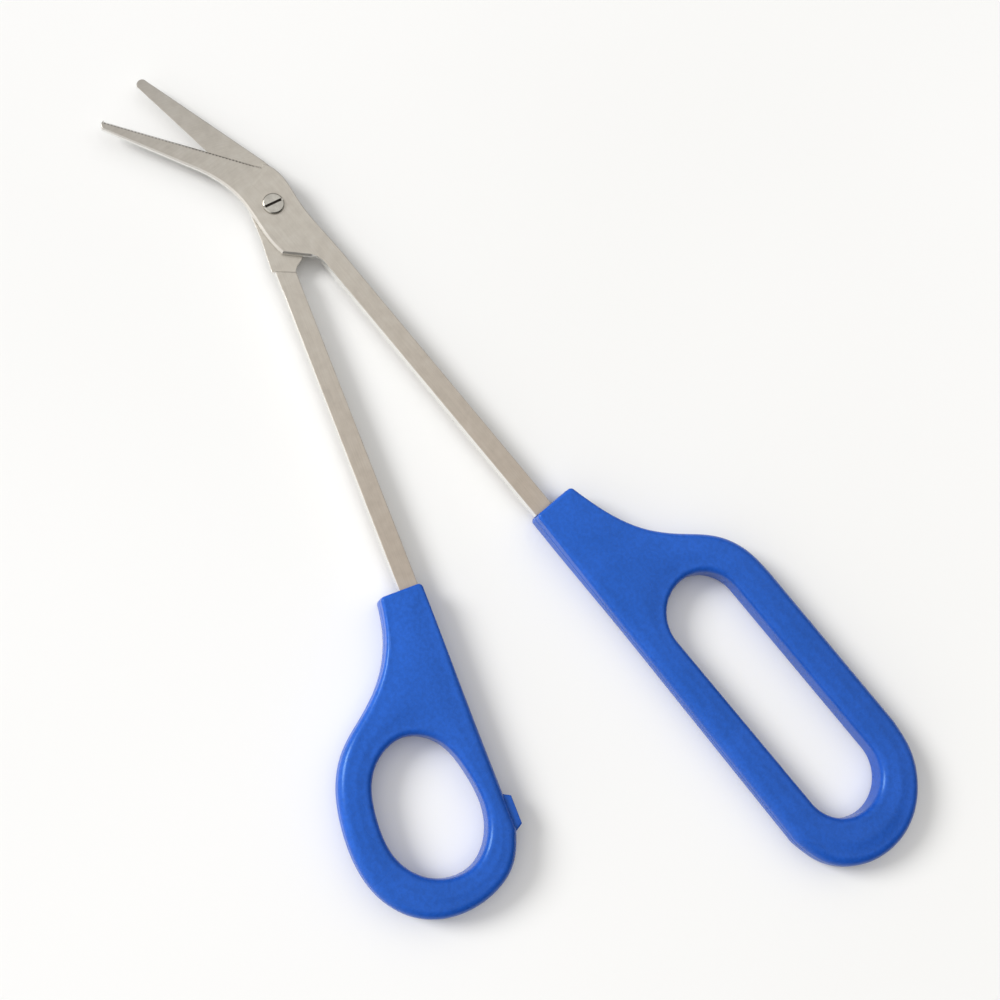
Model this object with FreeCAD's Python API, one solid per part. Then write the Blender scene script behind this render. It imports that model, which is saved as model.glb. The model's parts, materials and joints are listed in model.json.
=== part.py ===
import FreeCAD, Part
import math
import os

# Long-reach toenail scissors.  Two flat steel arms cross at one slotted screw.  In front of the
# screw each arm is a short blade bent to one side; behind it each is a long shank whose tang is
# buried in a plastic handle: a four-finger loop on one arm, a thumb loop on the other.
#
# Every outline is drawn with the pivot at the origin and the arm's own shank along +X.
# +Z points up, away from the face that the scissors lie on.  Millimetres and degrees.

# ---- driving dimensions -------------------------------------------------------------------
REST_OPENING = 18.8          # angle between the two shanks as the scissors lie

HANDLE_THICKNESS = 10.0
SHANK_THICKNESS = 3.4
SHANK_OUTER = 6.9            # from the pivot's radial line to a shank's outer edge
FINGER_SHANK_INNER = 0.75    # and to its inner edge, on each arm
THUMB_SHANK_INNER = 1.1
SHANK_START = 26.0           # pivot to where the plate has narrowed to the shank
LAP_GAP = 0.08               # running gap between the two blades and pivot plates

NECK = 122.0                 # pivot to the face where a shank enters its handle
TANG_LENGTH = 34.0
TANG_SHOULDER = 0.9          # the tang is narrower than the shank by this much each side
TANG_HOLE_RADIUS = 1.1       # plastic flows through this hole and locks the tang

TOOTH_PITCH = 1.0            # fine serration on the finger arm's cutting edge
TOOTH_DEPTH = 0.28
BEVEL_WIDTH = 1.0            # bevel that makes each cutting edge
BEVEL_LAND = 0.35            # thickness left at the cutting edge
EDGE_BREAK = 0.12            # small chamfer on the steel's long edges
BACK_BEVEL = 0.6             # polished bevel round the back and heel of the finger arm
SHOULDER_X = 19.7            # pivot to the shoulder where the thumb arm's plate begins
SHOULDER = 0.7               # how far that plate stands out from its shank
STEP_BREAK = 0.3             # chamfer along the top of the step above that plate

SCREW_RADIUS = 2.0
SCREW_CLEARANCE = 0.05
HEAD_RADIUS = 3.3
HEAD_HEIGHT = 0.8
HEAD_LIFT = 0.05
HEAD_ROUNDING = 0.65
HEAD_SLOT_WIDTH = 0.8
HEAD_SLOT_DEPTH = 0.5
HEAD_SLOT_ANGLE = 98.5

SLOT_RADIUS = 12.85          # four-finger slot: two round ends on one centre line
SLOT_START = 177.9
SLOT_END = 240.4
SLOT_CENTRE_Y = 21.95
LOOP_OUTER_Y = 46.5          # straight outer side of the long loop
LOOP_INNER_Y = -2.2          # its inner side where the round end begins

FINGER_LOOP_FILLET = 1.8
THUMB_LOOP_FILLET = 1.8
STOP_HEIGHT = 2.2            # lug on the thumb loop that meets the finger loop when closed
STOP_START = 187.0
STOP_END = 198.0
STOP_Z = (2.2, 7.4)

# ---- values worked out from them ----------------------------------------------------------
MID_Z = HANDLE_THICKNESS / 2
TOP_Z = MID_Z + SHANK_THICKNESS / 2
LOW_Z = MID_Z - SHANK_THICKNESS / 2


def vec(point, z=0.0):
    return FreeCAD.Vector(point[0], point[1], z)


def curve(points, closed=False):
    """A smooth edge through the points, joined up to its own start if it is closed."""
    spline = Part.BSplineCurve()
    spline.interpolate(Points=[vec(point) for point in points], PeriodicFlag=closed)
    return spline.toShape()


def line(start, end):
    return Part.makeLine(vec(start), vec(end))


def lines(points):
    return [line(points[i], points[i + 1]) for i in range(len(points) - 1)]


def arc(start, middle, end):
    return Part.Arc(vec(start), vec(middle), vec(end)).toShape()


def slab(edges, z0, z1):
    """The closed outline made by the edges, as a solid from z0 up to z1."""
    wire = Part.Wire(Part.__sortEdges__(edges))
    face = Part.Face(wire)
    if face.normalAt(0, 0).z < 0:
        face.reverse()
    face.translate(FreeCAD.Vector(0, 0, z0))
    return face.extrude(FreeCAD.Vector(0, 0, z1 - z0))


def cylinder(radius, x, y, z0, z1):
    return Part.makeCylinder(radius, z1 - z0, FreeCAD.Vector(x, y, z0))


def turned(shape, degrees):
    copy = shape.copy()
    copy.rotate(FreeCAD.Vector(0, 0, 0), FreeCAD.Vector(0, 0, 1), degrees)
    return copy


def serrated(start, end):
    """Zigzag from start to end: one small V for each tooth, cut to the left of the line."""
    length = math.hypot(end[0] - start[0], end[1] - start[1])
    along = ((end[0] - start[0]) / length, (end[1] - start[1]) / length)
    inward = (-along[1], along[0])
    count = int(length / TOOTH_PITCH)
    step = length / count
    points = [start]
    for tooth in range(count):
        root = (tooth + 0.5) * step
        points.append((start[0] + along[0] * root + inward[0] * TOOTH_DEPTH,
                       start[1] + along[1] * root + inward[1] * TOOTH_DEPTH))
        crest = (tooth + 1) * step
        points.append((start[0] + along[0] * crest, start[1] + along[1] * crest))
    return lines(points)


def edge_bevel(start, end, side, outer_z, inner_z):
    """Wedge that grinds the cutting edge from start to end; side is +1 for steel on the left."""
    length = math.hypot(end[0] - start[0], end[1] - start[1])
    along = ((end[0] - start[0]) / length, (end[1] - start[1]) / length)
    inward = (-along[1] * side, along[0] * side)
    rise = 1.0 if outer_z > inner_z else -1.0
    land_z = inner_z + rise * BEVEL_LAND
    slope = (outer_z - land_z) / BEVEL_WIDTH
    beyond = 1.0
    corners = [(BEVEL_WIDTH, outer_z), (-beyond, land_z - slope * beyond), (-beyond, outer_z + rise),
               (BEVEL_WIDTH, outer_z + rise)]
    origin = (start[0] - along[0] * beyond * 2, start[1] - along[1] * beyond * 2)
    points = [FreeCAD.Vector(origin[0] + inward[0] * reach, origin[1] + inward[1] * reach, z)
              for reach, z in corners]
    points.append(points[0])
    face = Part.Face(Part.makePolygon(points))
    run = length + beyond * 2
    return face.extrude(FreeCAD.Vector(along[0] * run, along[1] * run, 0))


def shank_inner(side):
    return FINGER_SHANK_INNER if side > 0 else THUMB_SHANK_INNER


def shank_breaks(side):
    """Prisms that break the four long edges of a shank; side is the sign of Y it lies on."""
    prisms = []
    reach = EDGE_BREAK * 2
    run = FreeCAD.Vector(NECK - SHANK_START, 0, 0)
    for y, away in ((shank_inner(side) * side, -side), (SHANK_OUTER * side, side)):
        for z, up in ((TOP_Z, 1), (LOW_Z, -1)):
            corners = [(y - away * EDGE_BREAK, z), (y, z - up * EDGE_BREAK),
                       (y + away * reach, z - up * EDGE_BREAK), (y + away * reach, z + up * reach),
                       (y - away * EDGE_BREAK, z + up * reach)]
            points = [FreeCAD.Vector(SHANK_START, corner[0], corner[1]) for corner in corners]
            points.append(points[0])
            prisms.append(Part.Face(Part.makePolygon(points)).extrude(run))
    return prisms


def tang(side):
    """The narrower tang behind the shank, with the hole that the handle's plastic fills."""
    inner = (shank_inner(side) + TANG_SHOULDER) * side
    outer = (SHANK_OUTER - TANG_SHOULDER) * side
    end = NECK + TANG_LENGTH
    plain = slab(lines([(NECK, inner), (end, inner), (end, outer), (NECK, outer), (NECK, inner)]),
                 LOW_Z, TOP_Z)
    middle = (inner + outer) / 2
    hole = cylinder(TANG_HOLE_RADIUS, NECK + TANG_LENGTH * 0.6, middle, LOW_Z - 1, TOP_Z + 1)
    return plain.cut(hole)


def step_line(side):
    """Inner and outer end of the slanted step where an arm's plate begins."""
    return (24.5, -6.2 * side), (19.8, 7.2 * side)


def step_break(side):
    """Prism that breaks the top edge of the step."""
    inner, outer = step_line(side)
    length = math.hypot(outer[0] - inner[0], outer[1] - inner[1])
    into_shank = ((outer[1] - inner[1]) / length * side, (inner[0] - outer[0]) / length * side)
    corners = [(STEP_BREAK, TOP_Z), (-STEP_BREAK, TOP_Z - STEP_BREAK * 2), (-STEP_BREAK, TOP_Z + 1),
               (STEP_BREAK, TOP_Z + 1)]
    points = [FreeCAD.Vector(inner[0] + into_shank[0] * reach, inner[1] + into_shank[1] * reach, z)
              for reach, z in corners]
    points.append(points[0])
    run = FreeCAD.Vector(outer[0] - inner[0], outer[1] - inner[1], 0)
    return Part.Face(Part.makePolygon(points)).extrude(run)


def lap_pocket(side, z0, z1):
    """Everything on the pivot's side of the slanted step, between z0 and z1."""
    step_inner, step_outer = step_line(side)
    beyond_tip = -70
    wide = 45 * side
    corners = [(beyond_tip, -wide), step_inner, step_outer, (17.0, wide), (beyond_tip, wide)]
    corners.append(corners[0])
    return slab(lines(corners), z0, z1)


def blade_grind(outer_z, rise):
    """Slice that thins a blade toward its tip.  A short slope beside the screw leads into it,
    and it leans a little, so that the slope fades out before it reaches the blade's back."""
    start = (-8.8, 3.0)
    toward_tip = (-0.947, -0.32)
    across = (-toward_tip[1], toward_tip[0])
    half_width = 40.0
    lean = 0.02
    slope_length = 0.9
    slope_depth = 0.14
    beyond_tip = 50.0
    profile = [(0.0, 0.0), (slope_length, -slope_depth), (beyond_tip, -0.55), (beyond_tip, 2.0), (0.0, 2.0)]
    points = []
    for reach, height in profile + profile[:1]:
        points.append(FreeCAD.Vector(start[0] + toward_tip[0] * reach - across[0] * half_width,
                                     start[1] + toward_tip[1] * reach - across[1] * half_width,
                                     outer_z + (height - lean * half_width) * rise))
    span = FreeCAD.Vector(across[0], across[1], lean * rise) * (2 * half_width)
    return Part.Face(Part.makePolygon(points)).extrude(span)


def finish_arm(arm, side, plate_low, plate_high, bevel):
    """Halve an arm's blank in front of the step, grind its edge and add the tang."""
    if plate_high == TOP_Z:
        arm = arm.cut(lap_pocket(side, LOW_Z - 1, plate_low))
        arm = arm.cut(blade_grind(TOP_Z, 1))
    else:
        arm = arm.cut(lap_pocket(side, plate_high, TOP_Z + 1))
        arm = arm.cut(blade_grind(LOW_Z, -1))
    arm = arm.cut(bevel)
    for prism in shank_breaks(side):
        arm = arm.cut(prism)
    arm = arm.fuse(tang(side)).removeSplitter()
    return arm


def finger_outline(heel, tip, inset):
    """The finger arm seen from above, with its back and heel drawn inset by so much."""
    back = [(-47.7, -25.75), (-21.3, -10.95), (-14.6, -8.2), (-7.3, -6.9), (-1.0, -7.2), (6.0, -8.0),
            (13.5, -7.6), (19.2, -1.4)]
    toward_steel = [(-0.49, 0.87), (-0.44, 0.90), (-0.28, 0.96), (-0.07, 1.0), (0.08, 1.0), (0.03, 1.0),
                    (-0.43, 1.0), (-0.74, 0.67)]
    back = [(x + inset * nx, y + inset * ny) for (x, y), (nx, ny) in zip(back, toward_steel)]
    edges = lines([(NECK, FINGER_SHANK_INNER), (NECK, SHANK_OUTER), (27.0, SHANK_OUTER)])
    edges.append(curve([(27.0, SHANK_OUTER), (14.5, 6.6), (4.4, 6.7), (-3.4, 7.7), (-8.6, 7.2),
                        (-11.5, 5.8)]))
    edges.append(line((-11.5, 5.8), heel))
    edges += serrated(heel, tip)
    edges.append(arc(tip, (-49.2, -25.0 + inset), back[0]))
    edges.append(line(back[0], back[1]))
    edges.append(curve(back[1:-1]))
    edges.append(line(back[-2], back[-1]))
    edges.append(arc(back[-1], (20.5, 0.05), (22.8, FINGER_SHANK_INNER)))
    edges.append(line((22.8, FINGER_SHANK_INNER), (NECK, FINGER_SHANK_INNER)))
    return edges


def finger_arm():
    """Upper arm: its blade has the serrated edge, its plate carries the clear hole."""
    plate_low = MID_Z + LAP_GAP / 2
    heel = (-12.9, 3.7)
    tip = (-49.5, -23.7)
    bevel_foot = TOP_Z - BACK_BEVEL
    sections = []
    for inset, z in ((0.0, bevel_foot), (BACK_BEVEL, TOP_Z)):
        wire = Part.Wire(finger_outline(heel, tip, inset))
        wire.translate(FreeCAD.Vector(0, 0, z))
        sections.append(wire)
    blank = slab(finger_outline(heel, tip, 0.0), LOW_Z, bevel_foot)
    blank = blank.fuse(Part.makeLoft(sections, True, True)).removeSplitter()
    bevel = edge_bevel(heel, tip, 1, TOP_Z, plate_low)
    arm = finish_arm(blank, 1, plate_low, TOP_Z, bevel)
    return arm.cut(cylinder(SCREW_RADIUS + SCREW_CLEARANCE, 0, 0, LOW_Z - 1, TOP_Z + 1))


def thumb_arm():
    """Lower arm: a plain edged blade; the screw is fixed in its plate."""
    plate_high = MID_Z - LAP_GAP / 2
    heel = (-11.5, -7.5)
    tip = (-47.3, -25.4)
    stand = -SHANK_OUTER - SHOULDER
    plate_end = (SHOULDER_X - 0.3, stand)
    edges = lines([(NECK, -THUMB_SHANK_INNER), (NECK, -SHANK_OUTER), (SHOULDER_X, -SHANK_OUTER), plate_end])
    edges.append(curve([plate_end, (14.0, -7.3), (8.5, -7.05), (0.0, -7.3), (-6.0, -7.5), heel]))
    edges.append(line(heel, tip))
    edges.append(curve([tip, (-48.6, -24.8), (-49.1, -23.6), (-48.3, -22.3)]))
    edges.append(line((-48.3, -22.3), (-14.7, 2.0)))
    edges.append(curve([(-14.7, 2.0), (-10.6, 4.2), (-4.0, 5.9), (3.0, 6.9), (13.5, 7.0)]))
    edges.append(line((13.5, 7.0), (19.0, 1.6)))
    edges.append(arc((19.0, 1.6), (20.5, -0.2), (22.8, -THUMB_SHANK_INNER)))
    edges.append(line((22.8, -THUMB_SHANK_INNER), (NECK, -THUMB_SHANK_INNER)))
    bevel = edge_bevel(heel, tip, -1, LOW_Z, plate_high)
    arm = finish_arm(slab(edges, LOW_Z, TOP_Z), -1, LOW_Z, plate_high, bevel)
    arm = arm.cut(step_break(-1))
    return arm.cut(cylinder(SCREW_RADIUS, 0, 0, LOW_Z - 1, TOP_Z + 1))


def pivot_screw():
    """Slotted screw: its head turns on the finger arm, its shaft is fixed in the thumb arm."""
    head_low = TOP_Z + HEAD_LIFT
    head_top = head_low + HEAD_HEIGHT
    shaft = cylinder(SCREW_RADIUS, 0, 0, LOW_Z, head_low + 0.1)
    head = cylinder(HEAD_RADIUS, 0, 0, head_low, head_top)
    rim = [edge for edge in head.Edges if abs(edge.BoundBox.ZMin - head_top) < 1e-6 and edge.isClosed()]
    head = head.makeFillet(HEAD_ROUNDING, rim)
    slot = Part.makeBox(HEAD_RADIUS * 3, HEAD_SLOT_WIDTH, HEAD_SLOT_DEPTH * 2,
                        FreeCAD.Vector(-HEAD_RADIUS * 1.5, -HEAD_SLOT_WIDTH / 2, head_top - HEAD_SLOT_DEPTH))
    return shaft.fuse(head).removeSplitter().cut(turned(slot, HEAD_SLOT_ANGLE))


def rim_edges(shape):
    """The edges that lie wholly in the top or the bottom face of a handle."""
    rims = []
    for edge in shape.Edges:
        box = edge.BoundBox
        flat = box.ZMax - box.ZMin < 1e-4
        if flat and (abs(box.ZMin) < 1e-3 or abs(box.ZMin - HANDLE_THICKNESS) < 1e-3):
            rims.append(edge)
    return rims


def finger_loop():
    """Long handle: a neck on the shank that opens into a loop for four fingers."""
    shoulder = [(NECK, 14.2), (132.5, 17.2), (144.6, 23.1), (153.8, 31.6), (162.4, 41.0), (170.8, 45.3),
                (181.0, LOOP_OUTER_Y)]
    round_end = [(240.0, LOOP_OUTER_Y), (249.7, 44.8), (259.2, 39.1), (265.2, 30.9), (267.3, 20.5),
                 (264.6, 9.6), (257.0, 1.2), (246.0, LOOP_INNER_Y)]
    edges = [line((NECK, 0.2), shoulder[0]), curve(shoulder), line(shoulder[-1], round_end[0]),
             curve(round_end), line(round_end[-1], (NECK, 0.2))]
    body = slab(edges, 0, HANDLE_THICKNESS)
    low = SLOT_CENTRE_Y - SLOT_RADIUS
    high = SLOT_CENTRE_Y + SLOT_RADIUS
    slot = [line((SLOT_START, low), (SLOT_END, low)),
            arc((SLOT_END, low), (SLOT_END + SLOT_RADIUS, SLOT_CENTRE_Y), (SLOT_END, high)),
            line((SLOT_END, high), (SLOT_START, high)),
            arc((SLOT_START, high), (SLOT_START - SLOT_RADIUS, SLOT_CENTRE_Y), (SLOT_START, low))]
    body = body.cut(slab(slot, -1, HANDLE_THICKNESS + 1))
    body = body.makeFillet(FINGER_LOOP_FILLET, rim_edges(body))
    return body.cut(tang(1))


def thumb_loop():
    """Short handle: a neck on the shank that opens into an egg-shaped loop, with the stop lug."""
    inner = -0.4
    outer = [(NECK, -13.3), (131.8, -15.3), (143.0, -21.1), (151.6, -30.0), (158.4, -38.2), (167.0, -43.7),
             (177.0, -46.2), (188.0, -46.7), (198.2, -44.6), (206.6, -39.3), (211.9, -31.3), (213.4, -22.0),
             (211.6, -12.8), (206.4, -5.0), (197.5, inner)]
    edges = [line((NECK, -13.3), (NECK, inner)), line((NECK, inner), (197.5, inner)), curve(outer)]
    body = slab(edges, 0, HANDLE_THICKNESS)
    egg = [(161.5, -22.0), (167.4, -32.8), (179.5, -36.7), (193.0, -35.3), (201.8, -26.5), (202.2, -15.6),
           (193.5, -7.9), (177.5, -7.7), (165.6, -12.9)]
    body = body.cut(slab([curve(egg, closed=True)], -1, HANDLE_THICKNESS + 1))
    body = body.makeFillet(THUMB_LOOP_FILLET, rim_edges(body))
    crown = inner + STOP_HEIGHT
    buried = inner - 3
    ramp = 1.2
    lug = lines([(STOP_END, buried), (STOP_START, buried), (STOP_START, inner), (STOP_START + ramp, crown),
                 (STOP_END - ramp, crown), (STOP_END, inner), (STOP_END, buried)])
    body = body.fuse(slab(lug, STOP_Z[0], STOP_Z[1])).removeSplitter()
    return body.cut(tang(-1))


def main():
    os.makedirs("parts", exist_ok=True)
    nodes = {
        "finger_arm_blade": finger_arm(),
        "thumb_arm_blade": turned(thumb_arm(), -REST_OPENING),
        "pivot_screw": turned(pivot_screw(), -REST_OPENING),
        "finger_loop_handle": finger_loop(),
        "thumb_loop_handle": turned(thumb_loop(), -REST_OPENING),
    }
    whole = Part.makeCompound(list(nodes.values())).optimalBoundingBox(False, False)
    shift = FreeCAD.Vector(-whole.Center.x, -whole.Center.y, -whole.ZMin)
    print("pivot stands at %.4f %.4f mm" % (shift.x, shift.y))
    for name, shape in nodes.items():
        placed = shape.copy()
        placed.translate(shift)
        if len(placed.Solids) == 1:
            placed = placed.Solids[0]
        print(name, placed.ShapeType, "valid", placed.isValid(), "volume %.1f" % placed.Volume)
        placed.exportStep("parts/%s.step" % name)


main()
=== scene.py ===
import json
import math
import bpy
import bmesh
import numpy as np
from mathutils import Matrix, Vector

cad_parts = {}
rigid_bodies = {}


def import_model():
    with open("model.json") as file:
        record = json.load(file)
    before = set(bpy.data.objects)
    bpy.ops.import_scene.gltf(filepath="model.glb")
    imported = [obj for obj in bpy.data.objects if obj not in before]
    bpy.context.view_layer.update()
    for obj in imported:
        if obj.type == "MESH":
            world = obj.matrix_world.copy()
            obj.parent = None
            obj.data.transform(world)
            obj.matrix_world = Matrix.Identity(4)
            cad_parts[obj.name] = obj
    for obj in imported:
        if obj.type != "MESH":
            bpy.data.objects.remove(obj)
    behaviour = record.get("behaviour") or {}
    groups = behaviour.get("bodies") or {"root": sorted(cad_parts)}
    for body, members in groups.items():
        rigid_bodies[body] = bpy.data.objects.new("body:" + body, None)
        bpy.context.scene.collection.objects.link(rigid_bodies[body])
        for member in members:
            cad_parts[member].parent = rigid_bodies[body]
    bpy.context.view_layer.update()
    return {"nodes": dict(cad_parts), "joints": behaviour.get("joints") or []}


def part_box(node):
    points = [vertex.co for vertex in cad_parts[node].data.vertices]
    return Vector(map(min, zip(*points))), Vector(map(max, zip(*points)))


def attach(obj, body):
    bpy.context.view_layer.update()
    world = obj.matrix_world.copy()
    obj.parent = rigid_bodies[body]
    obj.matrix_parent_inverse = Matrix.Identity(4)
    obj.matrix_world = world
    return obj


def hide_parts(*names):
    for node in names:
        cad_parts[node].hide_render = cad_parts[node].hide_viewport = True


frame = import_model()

# ---- The hinge --------------------------------------------------------------------------------
# Everything turns about one screw.  The finger arm lies along +X from it, and the thumb arm is
# the same gauge of steel swung toward -Y by the rest opening.

hinge = frame["joints"][0]
pivot = Vector(hinge["pos_m"])
finger_side = hinge["parent"]
thumb_side = hinge["child"]
rest_opening = math.radians(18.8)

# ---- The two arms -----------------------------------------------------------------------------
# Each arm is blanked from stainless sheet: blade, pivot plate, shank and tang in one piece.  The
# flat faces are satin ground along the shank and across the blade, with a faint cloudiness, and
# the walls are polished, with a lighter painted tone for their bright reflection.  Fine teeth are
# filed in the finger arm's cutting edge, with painted shade in the gullets between them.


def new_material(name):
    """Material with one Principled shader wired to its output; gives both."""
    material = bpy.data.materials.new(name)
    material.use_nodes = True
    nodes = material.node_tree.nodes
    nodes.clear()
    shader = nodes.new("ShaderNodeBsdfPrincipled")
    output = nodes.new("ShaderNodeOutputMaterial")
    material.node_tree.links.new(shader.outputs["BSDF"], output.inputs["Surface"])
    return material, shader


def node(material, kind, inputs=None, **settings):
    """Add a node; inputs gives socket values, or sockets to link from."""
    made = material.node_tree.nodes.new(kind)
    for name, value in settings.items():
        setattr(made, name, value)
    for name, value in (inputs or {}).items():
        if isinstance(value, bpy.types.NodeSocket):
            material.node_tree.links.new(value, made.inputs[name])
        else:
            made.inputs[name].default_value = value
    return made


def ramp(material, source, stops):
    """Colour ramp on a value; stops are (position, grey or colour)."""
    made = node(material, "ShaderNodeValToRGB", {0: source})
    elements = made.color_ramp.elements
    while len(elements) < len(stops):
        elements.new(0.5)
    for element, (position, colour) in zip(elements, stops):
        element.position = position
        if isinstance(colour, float):
            colour = (colour, colour, colour)
        element.color = (*colour, 1.0)
    return made.outputs["Color"]


def mixed(material, factor, first, second, blend="MIX"):
    """First colour blended with the second by the factor; each is a value or a socket."""
    made = node(material, "ShaderNodeMix", data_type="RGBA", blend_type=blend)
    for number, value in ((0, factor), (6, first), (7, second)):
        socket = made.inputs[number]
        if isinstance(value, bpy.types.NodeSocket):
            material.node_tree.links.new(value, socket)
        else:
            socket.default_value = value
    return made.outputs[2]


edge_heel = (-0.0129, 0.0037, 0.0)
edge_turn = math.atan2(-27.4, -36.6)
edge_length = 0.04572
teeth = 45.0
mark_start = 0.0003
mark_full, mark_end = 0.00075, 0.00115


def gullet_painted_shade_mask(material, place):
    """Mask of the painted shade in the gullets between the teeth: a cosine along the cutting edge,
    one wave to a tooth, clipped, times a fade from full to none as the distance from the edge
    grows."""
    on_edge = node(material, "ShaderNodeMapping", {
        "Vector": place, "Location": edge_heel, "Rotation": (0.0, 0.0, edge_turn)},
        vector_type="TEXTURE")
    edge = node(material, "ShaderNodeSeparateXYZ", {"Vector": on_edge.outputs["Vector"]})
    phase = node(material, "ShaderNodeMath", {
        0: edge.outputs["X"], 1: 2.0 * math.pi * teeth / edge_length}, operation="MULTIPLY")
    swing = node(material, "ShaderNodeMath", {0: phase.outputs["Value"]}, operation="COSINE")
    between = node(material, "ShaderNodeMapRange", {
        "Value": swing.outputs["Value"], "From Min": 0.5, "From Max": -0.6})
    near_edge = node(material, "ShaderNodeMapRange", {
        "Value": edge.outputs["Y"], "From Min": mark_end, "From Max": mark_full})
    past_heel = node(material, "ShaderNodeMath", {
        0: edge.outputs["X"], 1: mark_start}, operation="GREATER_THAN")
    marks = node(material, "ShaderNodeMath", {
        0: between.outputs["Result"], 1: near_edge.outputs["Result"]}, operation="MULTIPLY")
    kept = node(material, "ShaderNodeMath", {
        0: marks.outputs["Value"], 1: past_heel.outputs["Value"]}, operation="MULTIPLY")
    return kept.outputs["Value"]


blade_turn = math.radians(31.0)
cloud_tones = [(0.30, (0.480, 0.445, 0.394)), (0.50, (0.522, 0.486, 0.430)),
               (0.70, (0.556, 0.524, 0.470))]
blade_start, blade_clear = -0.006, -0.012
tip_tint = (-0.004, -0.050, (0.78, 0.785, 0.80, 1.0))
handle_tint = (0.015, 0.110, (0.90, 0.84, 0.80, 1.0))
face_up, wall_up = 0.85, 0.35
face_metal, wall_metal = 0.75, 1.0
grain_share = 0.16
# Lighter wall tone: real polish, and partly a painted reflection of the bright surroundings.
wall_tone_and_painted_sheen = (0.90, 0.89, 0.86, 1.0)
wall_gloss = (0.16, 0.16, 0.16, 1.0)
# Dark colour painted as the shade in the gullets between the teeth.
gullet_painted_shade = (0.10, 0.09, 0.08, 1.0)
edge_softness = 0.00030
grain_depth = 0.00004


def arm_steel(name, shank_turn, serrated):
    """Satin steel: noise drawn out along the shank, and across the blade past a smooth step, over
    cloudy tones.  Each tint multiplies in by the share of the way from its first X to its second,
    and the walls' lighter tone, partly a painted reflection, comes in as the surface turns from up
    to sideways.  shank_turn is the shank's direction about the pivot, in radians."""
    material, shader = new_material(name)
    place = node(material, "ShaderNodeTexCoord").outputs["Object"]
    along_shank = node(material, "ShaderNodeMapping", {
        "Vector": place, "Location": pivot, "Rotation": (0.0, 0.0, shank_turn)},
        vector_type="TEXTURE")
    lengthwise = node(material, "ShaderNodeMapping", {
        "Vector": along_shank.outputs["Vector"], "Scale": (90.0, 5200.0, 900.0)})
    shank_grain = node(material, "ShaderNodeTexNoise", {
        "Vector": lengthwise.outputs["Vector"], "Scale": 1.0, "Detail": 3.0, "Roughness": 0.6})
    across = node(material, "ShaderNodeMapping", {
        "Vector": along_shank.outputs["Vector"], "Rotation": (0.0, 0.0, -blade_turn),
        "Scale": (5200.0, 160.0, 900.0)})
    blade_grain = node(material, "ShaderNodeTexNoise", {
        "Vector": across.outputs["Vector"], "Scale": 1.0, "Detail": 3.0, "Roughness": 0.6})
    position = node(material, "ShaderNodeSeparateXYZ", {"Vector": along_shank.outputs["Vector"]})
    on_blade = node(material, "ShaderNodeMapRange", {
        "Value": position.outputs["X"], "From Min": blade_start, "From Max": blade_clear},
        interpolation_type="SMOOTHSTEP")
    grain = mixed(material, on_blade.outputs["Result"],
                  shank_grain.outputs["Fac"], blade_grain.outputs["Fac"])
    cloud = node(material, "ShaderNodeTexNoise", {
        "Vector": place, "Scale": 300.0, "Detail": 6.0, "Roughness": 0.62})
    facing = node(material, "ShaderNodeSeparateXYZ", {
        "Vector": node(material, "ShaderNodeNewGeometry").outputs["Normal"]})
    upness = node(material, "ShaderNodeMath", {0: facing.outputs["Z"]}, operation="ABSOLUTE")
    wall = node(material, "ShaderNodeMapRange", {
        "Value": upness.outputs["Value"], "From Min": face_up, "From Max": wall_up})
    face_tone = ramp(material, cloud.outputs["Fac"], cloud_tones)
    for start, end, tint in (tip_tint, handle_tint):
        share = node(material, "ShaderNodeMapRange", {
            "Value": position.outputs["X"], "From Min": start, "From Max": end})
        face_tone = mixed(material, share.outputs["Result"], face_tone, tint, "MULTIPLY")
    grained = mixed(material, grain_share, face_tone,
                    ramp(material, grain, [(0.35, 0.36), (0.65, 0.66)]), "OVERLAY")
    # Walls: polished, and also given a lighter painted tone for their bright reflection.
    tone = mixed(material, wall.outputs["Result"], grained, wall_tone_and_painted_sheen)
    if serrated:
        # Painted shade in the gullets between the finger arm's teeth.
        gullet_shade = gullet_painted_shade_mask(material, along_shank.outputs["Vector"])
        tone = mixed(material, gullet_shade, tone, gullet_painted_shade)
    material.node_tree.links.new(tone, shader.inputs["Base Color"])
    metal = node(material, "ShaderNodeMapRange", {
        "Value": wall.outputs["Result"], "To Min": face_metal, "To Max": wall_metal})
    material.node_tree.links.new(metal.outputs["Result"], shader.inputs["Metallic"])
    satin = ramp(material, cloud.outputs["Fac"], [(0.35, 0.34), (0.65, 0.44)])
    rough = mixed(material, wall.outputs["Result"], satin, wall_gloss)
    material.node_tree.links.new(rough, shader.inputs["Roughness"])
    softened = node(material, "ShaderNodeBevel", {"Radius": edge_softness}, samples=6)
    bump = node(material, "ShaderNodeBump", {
        "Strength": 0.05, "Distance": grain_depth, "Height": grain,
        "Normal": softened.outputs["Normal"]})
    material.node_tree.links.new(bump.outputs["Normal"], shader.inputs["Normal"])
    return material


for part, shank_turn, serrated in (("finger_arm_blade", 0.0, True),
                                   ("thumb_arm_blade", -rest_opening, False)):
    arm = frame["nodes"][part]
    arm.data.materials.clear()
    arm.data.materials.append(arm_steel(part + "_steel", shank_turn, serrated))

# ---- The pivot screw --------------------------------------------------------------------------
# A low slotted head turned from stainless bar.  Its shaft passes through the finger arm's plate
# and is fixed in the thumb arm's, so it rides with the thumb arm.  Turning leaves fine rings.

screw_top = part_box("pivot_screw")[1].z - pivot.z
slot_reach = 0.0027
slot_lip = 0.00004
ring_depth = 0.00003
# Nearly black colour painted as the shade in the screw's slot.
slot_painted_shade = (0.035, 0.030, 0.025, 1.0)


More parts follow.
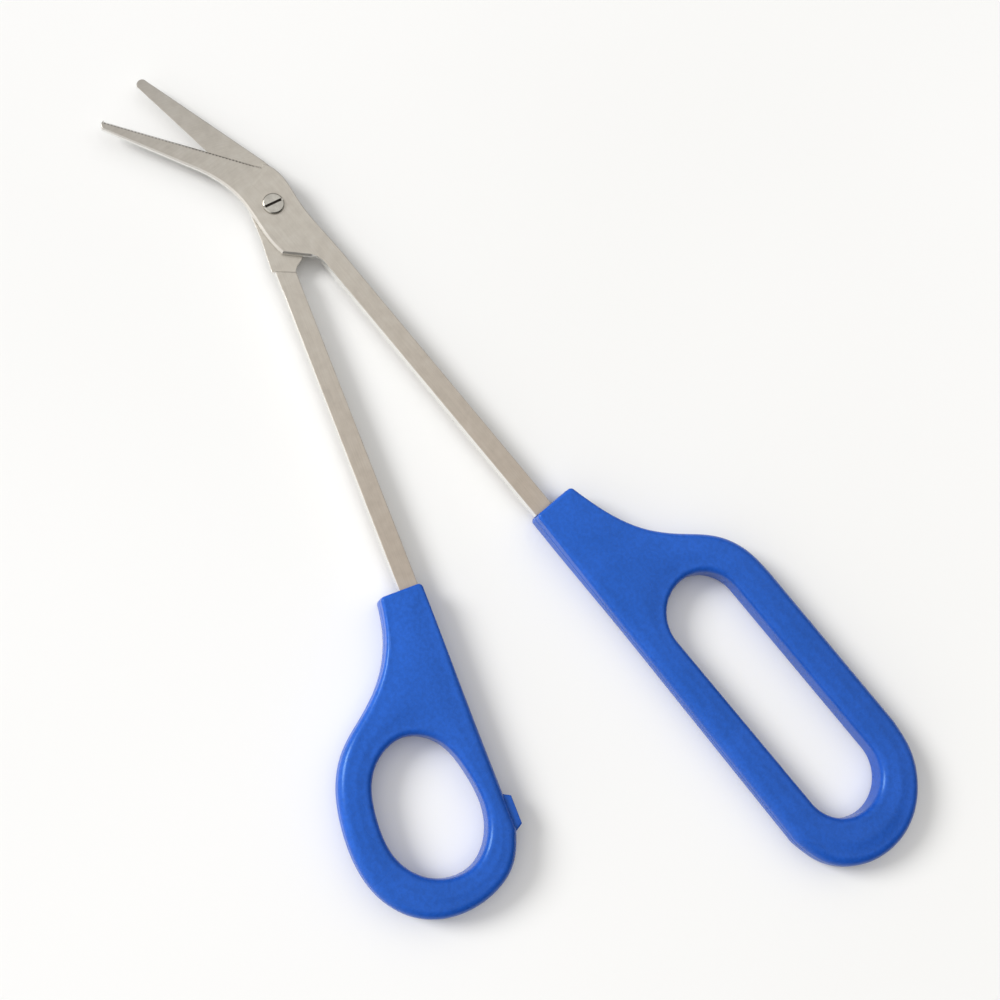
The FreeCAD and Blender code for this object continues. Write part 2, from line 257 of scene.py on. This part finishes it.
def turned_steel():
    """Turned steel: rings about the axis by a sine of the radius, cloudy in tone, and nearly black
    below the head's top within the slot's reach, a painted shade in the slot."""
    material, shader = new_material("screw_turned_steel")
    place = node(material, "ShaderNodeTexCoord").outputs["Object"]
    centred = node(material, "ShaderNodeMapping", {
        "Vector": place, "Location": pivot}, vector_type="TEXTURE")
    rings = node(material, "ShaderNodeTexWave", {
        "Vector": centred.outputs["Vector"], "Scale": 900.0, "Distortion": 0.4, "Detail": 1.0},
        wave_type="RINGS", rings_direction="Z")
    stain = node(material, "ShaderNodeTexNoise", {"Vector": place, "Scale": 500.0, "Detail": 3.0})
    tone = ramp(material, stain.outputs["Fac"], [
        (0.3, (0.44, 0.42, 0.38)), (0.7, (0.56, 0.54, 0.49))])
    depth = node(material, "ShaderNodeSeparateXYZ", {"Vector": centred.outputs["Vector"]})
    plan = node(material, "ShaderNodeCombineXYZ", {
        "X": depth.outputs["X"], "Y": depth.outputs["Y"]})
    radius = node(material, "ShaderNodeVectorMath", {
        0: plan.outputs["Vector"]}, operation="LENGTH")
    inside = node(material, "ShaderNodeMath", {
        0: radius.outputs["Value"], 1: slot_reach}, operation="LESS_THAN")
    below = node(material, "ShaderNodeMath", {
        0: depth.outputs["Z"], 1: screw_top - slot_lip}, operation="LESS_THAN")
    in_slot = node(material, "ShaderNodeMath", {
        0: inside.outputs["Value"], 1: below.outputs["Value"]}, operation="MULTIPLY")
    # Painted shade: the slot's floor and walls are coloured nearly black.
    tone = mixed(material, in_slot.outputs["Value"], tone, slot_painted_shade)
    material.node_tree.links.new(tone, shader.inputs["Base Color"])
    shader.inputs["Metallic"].default_value = 1.0
    rough = ramp(material, rings.outputs["Fac"], [(0.0, 0.22), (1.0, 0.34)])
    material.node_tree.links.new(rough, shader.inputs["Roughness"])
    bump = node(material, "ShaderNodeBump", {
        "Strength": 0.15, "Distance": ring_depth, "Height": rings.outputs["Fac"]})
    material.node_tree.links.new(bump.outputs["Normal"], shader.inputs["Normal"])
    return material


screw = frame["nodes"]["pivot_screw"]
screw.data.materials.clear()
screw.data.materials.append(turned_steel())

# ---- The finger loop handle -------------------------------------------------------------------
# One injection moulding over the finger arm's tang: a flat neck that opens into a long loop for
# four fingers, with soft edges, a fine spark-eroded skin and a parting line round its middle.

handle_low, handle_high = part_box("finger_loop_handle")
handle_thickness = handle_high.z - handle_low.z


def smooth_path(points, closed=False, samples=40):
    """Natural or periodic cubic spline through the points, sampled evenly in chord length."""
    points = np.asarray(points, float)
    if closed:
        points = np.vstack([points[-3:], points, points[:4]])
    chord = np.linalg.norm(np.diff(points, axis=0), axis=1)
    knots = np.concatenate([[0.0], np.cumsum(chord)])
    count = len(points)
    matrix = np.zeros((count, count))
    right = np.zeros((count, points.shape[1]))
    matrix[0, 0] = matrix[-1, -1] = 1.0
    inner = np.arange(1, count - 1)
    matrix[inner, inner - 1] = chord[:-1]
    matrix[inner, inner] = 2.0 * (chord[:-1] + chord[1:])
    matrix[inner, inner + 1] = chord[1:]
    slope = np.diff(points, axis=0) / chord[:, None]
    right[inner] = 6.0 * np.diff(slope, axis=0)
    curvature = np.linalg.solve(matrix, right)
    first = 3 if closed else 0
    last = count - 4 if closed else count - 1
    t = np.linspace(knots[first], knots[last], samples * (last - first) + 1)
    i = np.clip(np.searchsorted(knots, t, side="right") - 1, 0, count - 2)
    h = chord[i][:, None]
    a = ((knots[i + 1] - t) / chord[i])[:, None]
    b = 1.0 - a
    path = (a * points[i] + b * points[i + 1]
            + ((a ** 3 - a) * curvature[i] + (b ** 3 - b) * curvature[i + 1]) * h * h / 6.0)
    return path[:-1] if closed else path


def rounded_corner(corner, before, after, radius, samples=14):
    """Arc of the given radius that replaces a corner between its two neighbours."""
    corner = np.asarray(corner, float)
    u = np.asarray(before, float) - corner
    v = np.asarray(after, float) - corner
    u /= np.linalg.norm(u)
    v /= np.linalg.norm(v)
    half = 0.5 * math.acos(float(np.clip(u @ v, -1.0, 1.0)))
    reach = radius / math.tan(half)
    centre = corner + (u + v) / np.linalg.norm(u + v) * radius / math.sin(half)
    start = corner + u * reach - centre
    end = corner + v * reach - centre
    turn = math.atan2(start[0] * end[1] - start[1] * end[0], start @ end)
    angle = np.linspace(0.0, turn, samples)[:, None]
    across = np.array([-start[1], start[0]])
    return centre + np.cos(angle) * start + np.sin(angle) * across


def even_spacing(path, step):
    """Closed path resampled at about the given step by arc length."""
    ring = np.vstack([path, path[:1]])
    length = np.concatenate([[0.0], np.cumsum(np.linalg.norm(np.diff(ring, axis=0), axis=1))])
    count = int(length[-1] / step)
    want = np.linspace(0.0, length[-1], count, endpoint=False)
    return np.stack([np.interp(want, length, ring[:, k]) for k in (0, 1)], 1)


def left_normals(path):
    """Unit normals to the left of a closed path, from its neighbours' directions."""
    tangent = np.roll(path, -1, axis=0) - np.roll(path, 1, axis=0)
    tangent /= np.linalg.norm(tangent, axis=1)[:, None]
    return np.stack([-tangent[:, 1], tangent[:, 0]], 1)


def nearest_distance(places, path):
    """Distance in plan from each place to the nearest point of a path, taken in eight parts to
    spare memory."""
    flat = places.reshape(-1, 2)
    best = np.full(len(flat), 1e9)
    for part in np.array_split(path, 8):
        gap = flat[:, None, :] - part[None, :, :]
        best = np.minimum(best, np.sqrt((gap ** 2).sum(-1)).min(1))
    return best.reshape(places.shape[:-1])


wall_half = 0.9
hole_wall_half = 0.8
seam_half, seam_foot, seam_proud = 0.10, 0.22, 0.07
dome_reach = 4.0
round_steps, face_steps, under_steps = 10, 22, 6


def loop_surface(outer, inner, outer_round, inner_round, thickness, crown):
    """A flat ring as a grid: the outline's points by the points of a rounded section.

    From the parting line on the outside the section climbs the wall, turns over a quarter round,
    crosses the face, turns down a quarter round into the hole, and comes back underneath.  The
    face stands at the full thickness and falls by the crown toward its edges, as the exponential
    of minus the square of the distance to them over the dome's reach.  Outlines run anticlockwise,
    in mm, about mid height."""
    half = thickness / 2.0
    quarter = np.linspace(0.0, math.pi / 2.0, round_steps)
    outer_in = left_normals(outer)
    inner_in = -left_normals(inner)
    wide = outer_round[:, None]
    near = inner_round[:, None]
    face_out = outer + outer_in * wide
    face_in = inner + inner_in * near
    columns = []

    def add(plan, height):
        """One more point of the section, all the way round, at one height or a height for each."""
        columns.append(np.concatenate([plan, np.broadcast_to(height, (len(plan), 1))], 1))

    for height, proud in ((-wall_half, 0.0), (-seam_foot, 0.0), (-seam_half, seam_proud),
                          (seam_half, seam_proud), (seam_foot, 0.0), (wall_half, 0.0)):
        add(outer + outer_in * -proud, height)
    for angle in quarter:
        add(outer + outer_in * wide * (1.0 - math.cos(angle)),
            half - crown - wide * (1.0 - math.sin(angle)))
    for share in (1.0 - np.cos(np.linspace(0.0, math.pi, face_steps)[1:-1])) / 2.0:
        plan = face_out + (face_in - face_out) * share
        reach = np.minimum(nearest_distance(plan, face_out), nearest_distance(plan, face_in))
        add(plan, (half - crown * np.exp(-(reach / dome_reach) ** 2))[:, None])
    for angle in quarter[::-1]:
        add(inner + inner_in * near * (1.0 - math.cos(angle)),
            half - crown - near * (1.0 - math.sin(angle)))
    for height in (hole_wall_half, -hole_wall_half):
        add(inner, height)
    for angle in quarter:
        add(inner + inner_in * near * (1.0 - math.cos(angle)),
            near * (1.0 - math.sin(angle)) - half)
    for share in np.linspace(1.0, 0.0, under_steps)[1:-1]:
        add(face_out + (face_in - face_out) * share, -half)
    for angle in quarter[::-1]:
        add(outer + outer_in * wide * (1.0 - math.cos(angle)),
            wide * (1.0 - math.sin(angle)) - half)
    return np.stack(columns, 1)


def grid_mesh(name, grid, closed_across=True):
    """Grid wrapped round its rows, and across its columns if asked, as a smooth closed mesh."""
    rows, cols = grid.shape[:2]
    index = np.arange(rows * cols).reshape(rows, cols)
    down = np.roll(index, -1, axis=0)
    quads = np.stack([index, down, np.roll(down, -1, axis=1), np.roll(index, -1, axis=1)], -1)
    if not closed_across:
        quads = quads[:, :-1]
    mesh = bpy.data.meshes.new(name)
    mesh.from_pydata(grid.reshape(-1, 3).tolist(), [], quads.reshape(-1, 4).tolist())
    mesh.polygons.foreach_set("use_smooth", np.ones(len(mesh.polygons), bool))
    mesh.update()
    piece = bpy.data.objects.new(name, mesh)
    bpy.context.scene.collection.objects.link(piece)
    work = bmesh.new()
    work.from_mesh(mesh)
    bmesh.ops.remove_doubles(work, verts=work.verts, dist=1e-6)
    bmesh.ops.recalc_face_normals(work, faces=work.faces)
    work.to_mesh(mesh)
    work.free()
    return piece


def placed(grid, turn, mid_z):
    """Millimetres about the pivot, turned about it, into metres in the row frame."""
    c, s = math.cos(turn), math.sin(turn)
    out = np.empty_like(grid)
    out[..., 0] = pivot.x + (grid[..., 0] * c - grid[..., 1] * s) / 1000.0
    out[..., 1] = pivot.y + (grid[..., 0] * s + grid[..., 1] * c) / 1000.0
    out[..., 2] = mid_z + grid[..., 2] / 1000.0
    return out


near_x, far_x = pivot.x + 0.125, pivot.x + 0.250
# Painted sheen: the necks are coloured lighter and the loops' far ends darker.
near_painted_sheen_tint = (1.0, 0.98, 0.97, 1.0)
far_painted_sheen_fade = (0.82, 0.80, 0.82, 1.0)
speck_share, fleck_share = 0.55, 0.4
pit_depth = 0.00012


def moulded_blue(name):
    """Royal blue polypropylene: satin, pitted by fine noise and uneven in tone and gloss by broad
    noise.  A painted sheen makes the necks lighter than the loops: the far tint comes in by the
    share of the way along X from the necks to the loops' far ends."""
    material, shader = new_material(name)
    place = node(material, "ShaderNodeTexCoord").outputs["Object"]
    skin = node(material, "ShaderNodeTexNoise", {
        "Vector": place, "Scale": 2300.0, "Detail": 3.0, "Roughness": 0.6})
    fleck = node(material, "ShaderNodeTexNoise", {
        "Vector": place, "Scale": 900.0, "Detail": 2.0, "Roughness": 0.7})
    flow = node(material, "ShaderNodeTexNoise", {
        "Vector": place, "Scale": 55.0, "Detail": 3.0, "Roughness": 0.5, "Distortion": 0.6})
    tone = ramp(material, flow.outputs["Fac"], [
        (0.30, (0.0120, 0.088, 0.460)), (0.70, (0.0170, 0.104, 0.530))])
    # Painted sheen: the colour darkens from the necks toward the loops' far ends.
    far = node(material, "ShaderNodeMapRange", {
        "Value": node(material, "ShaderNodeSeparateXYZ", {"Vector": place}).outputs["X"],
        "From Min": near_x, "From Max": far_x})
    tone = mixed(material, far.outputs["Result"],
                 mixed(material, 1.0, tone, near_painted_sheen_tint, "MULTIPLY"),
                 mixed(material, 1.0, tone, far_painted_sheen_fade, "MULTIPLY"))
    speck = ramp(material, fleck.outputs["Fac"], [(0.36, 0.42), (0.64, 0.58)])
    tone = mixed(material, speck_share, tone, speck, "OVERLAY")
    material.node_tree.links.new(tone, shader.inputs["Base Color"])
    rough = ramp(material, flow.outputs["Fac"], [(0.3, 0.25), (0.7, 0.32)])
    material.node_tree.links.new(rough, shader.inputs["Roughness"])
    shader.inputs["IOR"].default_value = 1.42
    shader.inputs["Specular IOR Level"].default_value = 0.45
    shader.inputs["Specular Tint"].default_value = (0.55, 0.88, 1.0, 1.0)
    height = mixed(material, fleck_share, skin.outputs["Fac"], fleck.outputs["Fac"])
    bump = node(material, "ShaderNodeBump", {
        "Strength": 0.35, "Distance": pit_depth, "Height": height})
    material.node_tree.links.new(bump.outputs["Normal"], shader.inputs["Normal"])
    return material


blue = moulded_blue("handle_blue_plastic")
neck = 122.0

loop_outer_y = 46.5
loop_inner_y = -2.2
shoulder = [(neck, 14.2), (132.5, 17.2), (144.6, 23.1), (153.8, 31.6), (162.4, 41.0),
            (170.8, 45.3), (181.0, loop_outer_y)]
round_end = [(240.0, loop_outer_y), (249.7, 44.8), (259.2, 39.1), (265.2, 30.9), (267.3, 20.5),
             (264.6, 9.6), (257.0, 1.2), (246.0, loop_inner_y)]
neck_foot = (neck, 0.2)
neck_radius = 1.3
corner_points = 8
finger_step = 0.55
outline = np.vstack([
    rounded_corner(neck_foot, shoulder[0], round_end[-1], neck_radius),
    smooth_path(round_end[::-1]),
    smooth_path(shoulder[::-1])[:-corner_points],
    rounded_corner(shoulder[0], shoulder[1], neck_foot, neck_radius),
])
outline = even_spacing(outline, finger_step)

slot_radius = 12.85
slot_middle_y = 21.95
slot_near_x, slot_far_x = 177.9, 240.4
middle = np.stack([np.clip(outline[:, 0], slot_near_x, slot_far_x),
                   np.full(len(outline), slot_middle_y)], 1)
spoke = outline - middle
slot_outline = middle + spoke / np.linalg.norm(spoke, axis=1)[:, None] * slot_radius


neck_round, finger_round, hole_round = 1.0, 3.0, 2.2
face_crown = 0.6
swell_start, swell_length = 4.0, 45.0


def softening(x, neck_value, loop_value):
    """Edge radius that goes from the neck's value to the loop's by the smooth cubic step, three
    times the square less twice the cube, of the share of the way along the swelling."""
    share = np.clip((x - neck - swell_start) / swell_length, 0.0, 1.0)
    return neck_value + (loop_value - neck_value) * share * share * (3.0 - 2.0 * share)


finger_grid = loop_surface(outline, slot_outline,
                           softening(outline[:, 0], neck_round, finger_round),
                           np.full(len(outline), hole_round), handle_thickness * 1000.0, face_crown)
finger_loop = grid_mesh("finger_loop", placed(finger_grid, 0.0, pivot.z))
finger_loop.data.materials.append(blue)
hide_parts("finger_loop_handle")
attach(finger_loop, finger_side)

# ---- The thumb loop handle --------------------------------------------------------------------
# The same plastic over the thumb arm's tang: a shorter neck that swells into an egg-shaped loop.
# A lug moulded on its inner side meets the finger loop when the scissors are closed.

inner_y = -0.4
swell = [(neck, -13.3), (131.8, -15.3), (143.0, -21.1), (151.6, -30.0), (158.4, -38.2),
         (167.0, -43.7), (177.0, -46.2), (188.0, -46.7), (198.2, -44.6), (206.6, -39.3),
         (211.9, -31.3), (213.4, -22.0), (211.6, -12.8), (206.4, -5.0), (197.5, inner_y)]
egg = [(161.5, -22.0), (167.4, -32.8), (179.5, -36.7), (193.0, -35.3), (201.8, -26.5),
       (202.2, -15.6), (193.5, -7.9), (177.5, -7.7), (165.6, -12.9)]
thumb_step = 0.5
outline = np.vstack([
    rounded_corner((neck, inner_y), swell[-1], swell[0], neck_radius),
    rounded_corner(swell[0], (neck, inner_y), swell[1], neck_radius),
    smooth_path(swell)[corner_points:],
])
outline = even_spacing(outline, thumb_step)

# Each point of the outline is matched to a point of the hole, partly by its bearing from the
# hole's centre and partly by its place in the count, so that the section never bunches up.
by_bearing, by_count = 0.45, 0.55
hole_centre = np.array([182.5, -22.0])
hole = smooth_path(egg, closed=True, samples=200) - hole_centre
hole_reach = np.linalg.norm(hole, axis=1)
spoke = outline - hole_centre
bearing = np.unwrap(np.arctan2(spoke[:, 1], spoke[:, 0]))
full_turn = 2.0 * math.pi
evenly = np.linspace(0.0, full_turn, len(outline), endpoint=False)
bearing = by_bearing * bearing + by_count * (evenly + np.mean(bearing - evenly))
hole_bearing = np.arctan2(hole[:, 1], hole[:, 0]) % full_turn
order = np.argsort(hole_bearing)
reach = np.interp(bearing % full_turn, hole_bearing[order], hole_reach[order], period=full_turn)
hole_outline = hole_centre + np.stack([np.cos(bearing), np.sin(bearing)], 1) * reach[:, None]

thumb_round = 2.8
thumb_grid = loop_surface(outline, hole_outline,
                          softening(outline[:, 0], neck_round, thumb_round),
                          np.full(len(outline), hole_round), handle_thickness * 1000.0, face_crown)
thumb_loop = grid_mesh("thumb_loop", placed(thumb_grid, -rest_opening, pivot.z))
thumb_loop.data.materials.append(blue)
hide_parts("thumb_loop_handle")
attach(thumb_loop, thumb_side)


lug_half_width = 3.0
lug_steps = 7
closed_size = 1e-3


def lug_surface(corners, low, high, rounding):
    """Stack of plan outlines: each level is drawn in toward the middle by the quarter round at
    the two ends, and the last level at each end closes on the middle point."""
    before, after = corners[-1:] + corners[:-1], corners[1:] + corners[:1]
    plan = np.vstack([rounded_corner(corner, last, following, rounding, lug_steps)
                      for corner, last, following in zip(corners, before, after)])
    middle = plan.mean(0)
    turning = [(rounding * (1.0 - math.sin(angle)),
                1.0 - rounding * (1.0 - math.cos(angle)) / lug_half_width)
               for angle in np.linspace(0.0, math.pi / 2.0, lug_steps)]
    levels = [(low, closed_size)]
    levels += [(low + height, size) for height, size in turning[::-1]]
    levels += [(high - height, size) for height, size in turning]
    levels.append((high, closed_size))
    rings = [np.concatenate([middle + (plan - middle) * size, np.full((len(plan), 1), z)], 1)
             for z, size in levels]
    return np.stack(rings, 1)


lug_near_x, lug_far_x, lug_taper = 187.0, 198.0, 1.2
lug_root, lug_crown = inner_y - 1.5, inner_y + 2.1
lug_low, lug_high, lug_rounding = -2.8, 2.4, 0.5
lug = lug_surface([(lug_near_x, lug_root), (lug_far_x, lug_root), (lug_far_x, inner_y),
                   (lug_far_x - lug_taper, lug_crown), (lug_near_x + lug_taper, lug_crown),
                   (lug_near_x, inner_y)], lug_low, lug_high, lug_rounding)
stop_lug = grid_mesh("stop_lug", placed(lug, -rest_opening, pivot.z), closed_across=False)
stop_lug.data.materials.append(blue)
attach(stop_lug, thumb_side)

# ---- Floor ------------------------------------------------------------------------------------
# A plain white table that the handles lie on, with a matt surface that is very slightly uneven
# in tone.


def floor_sheet():
    """Flat square, six metres across, at the height of the floor."""
    mesh = bpy.data.meshes.new("floor")
    reach = 3.0
    corners = [(-reach, -reach, 0), (reach, -reach, 0), (reach, reach, 0), (-reach, reach, 0)]
    mesh.from_pydata(corners, [], [(0, 1, 2, 3)])
    floor = bpy.data.objects.new("floor", mesh)
    bpy.context.scene.collection.objects.link(floor)
    material, shader = new_material("white_table")
    place = node(material, "ShaderNodeTexCoord").outputs["Object"]
    haze = node(material, "ShaderNodeTexNoise", {"Vector": place, "Scale": 3.0, "Detail": 2.0})
    tone = ramp(material, haze.outputs["Fac"], [
        (0.3, (0.86, 0.86, 0.85)), (0.7, (0.90, 0.90, 0.895))])
    material.node_tree.links.new(tone, shader.inputs["Base Color"])
    shader.inputs["Roughness"].default_value = 0.6
    floor.data.materials.append(material)


floor_sheet()

# ---- Camera -----------------------------------------------------------------------------------
# Nearly overhead, leaning toward the thumb side, and turned so that the blades point up and left.
# The lens is a short telephoto one, aimed near the middle of the scissors.

view_turn = math.radians(50.3)
lean = math.radians(17.0)
lean_toward = math.radians(-87.7)
camera_distance = 0.480
target = pivot + Vector((0.11143, -0.00432, 0.0))
straight_down = Matrix.Rotation(view_turn, 4, "Z")
lean_axis = Vector((-math.sin(lean_toward), math.cos(lean_toward), 0.0))
leaned = Matrix.Rotation(lean, 4, lean_axis)
backward = leaned @ Vector((0.0, 0.0, 1.0))
camera_data = bpy.data.cameras.new("camera")
camera_data.sensor_width = 36.0
camera_data.lens = 57.9
camera = bpy.data.objects.new("camera", camera_data)
stand = Matrix.Translation(target + backward * camera_distance)
camera.matrix_world = stand @ leaned @ straight_down
bpy.context.scene.collection.objects.link(camera)
bpy.context.scene.camera = camera

# ---- Light ------------------------------------------------------------------------------------
# A broad window far to the view's left, in a pale room that is bright overhead and at the lower
# left of the view and dark at its lower right.  Behind the table stands a plain pale backdrop.


def far_window(bearing, elevation, spread, irradiance):
    """Distant soft light: bearing is degrees round from the view's left toward its top, elevation
    is degrees up from the table, and spread is the angle that the window fills."""
    data = bpy.data.lights.new("window", "SUN")
    data.angle = math.radians(spread)
    data.energy = irradiance
    light = bpy.data.objects.new("window", data)
    flat = math.radians(180.0 - bearing)
    rise = math.radians(elevation)
    offset = straight_down @ Vector((math.cos(flat) * math.cos(rise),
                                     math.sin(flat) * math.cos(rise), math.sin(rise)))
    light.location = target + offset
    light.rotation_euler = offset.to_track_quat("Z", "Y").to_euler()
    bpy.context.scene.collection.objects.link(light)


far_window(bearing=17.0, elevation=33.0, spread=23.0, irradiance=2.35)

room = bpy.data.worlds.new("room")
room.use_nodes = True
sky = room.node_tree.nodes["Background"]
toward = node(room, "ShaderNodeTexCoord").outputs["Generated"]


def aimed(aim, start, end, low, high):
    """Strength that goes from low to high by the smooth cubic step as the cosine of the angle
    between a direction and the aim goes from start to end."""
    facing = node(room, "ShaderNodeVectorMath", {0: toward, 1: aim}, operation="DOT_PRODUCT")
    strength = node(room, "ShaderNodeMapRange", {
        "Value": facing.outputs["Value"], "From Min": start, "From Max": end,
        "To Min": low, "To Max": high}, interpolation_type="SMOOTHSTEP")
    return strength.outputs["Result"]


overhead = aimed((0.0, 0.0, 1.0), start=0.15, end=0.80, low=0.05, high=0.96)
lower_left = aimed(straight_down @ Vector((-0.83, -0.55, 0.05)),
                   start=0.30, end=0.90, low=0.0, high=1.20)
lower_right_gloom = aimed(straight_down @ Vector((0.62, -0.76, 0.20)),
                          start=0.50, end=0.78, low=1.0, high=0.04)
brighter = node(room, "ShaderNodeMath", {0: overhead, 1: lower_left}, operation="MAXIMUM")
dimmed = node(room, "ShaderNodeMath", {
    0: brighter.outputs["Value"], 1: lower_right_gloom}, operation="MULTIPLY")
room.node_tree.links.new(dimmed.outputs["Value"], sky.inputs["Strength"])
sky.inputs["Color"].default_value = (1.0, 0.99, 0.975, 1.0)
backdrop = node(room, "ShaderNodeBackground", {"Color": (0.92, 0.92, 0.91, 1.0)})
seen = node(room, "ShaderNodeLightPath")
either = node(room, "ShaderNodeMixShader", {
    0: seen.outputs["Is Camera Ray"], 1: sky.outputs["Background"],
    2: backdrop.outputs["Background"]})
room.node_tree.links.new(either.outputs["Shader"],
                         room.node_tree.nodes["World Output"].inputs["Surface"])
bpy.context.scene.world = room
bpy.context.scene.view_settings.view_transform = "Standard"
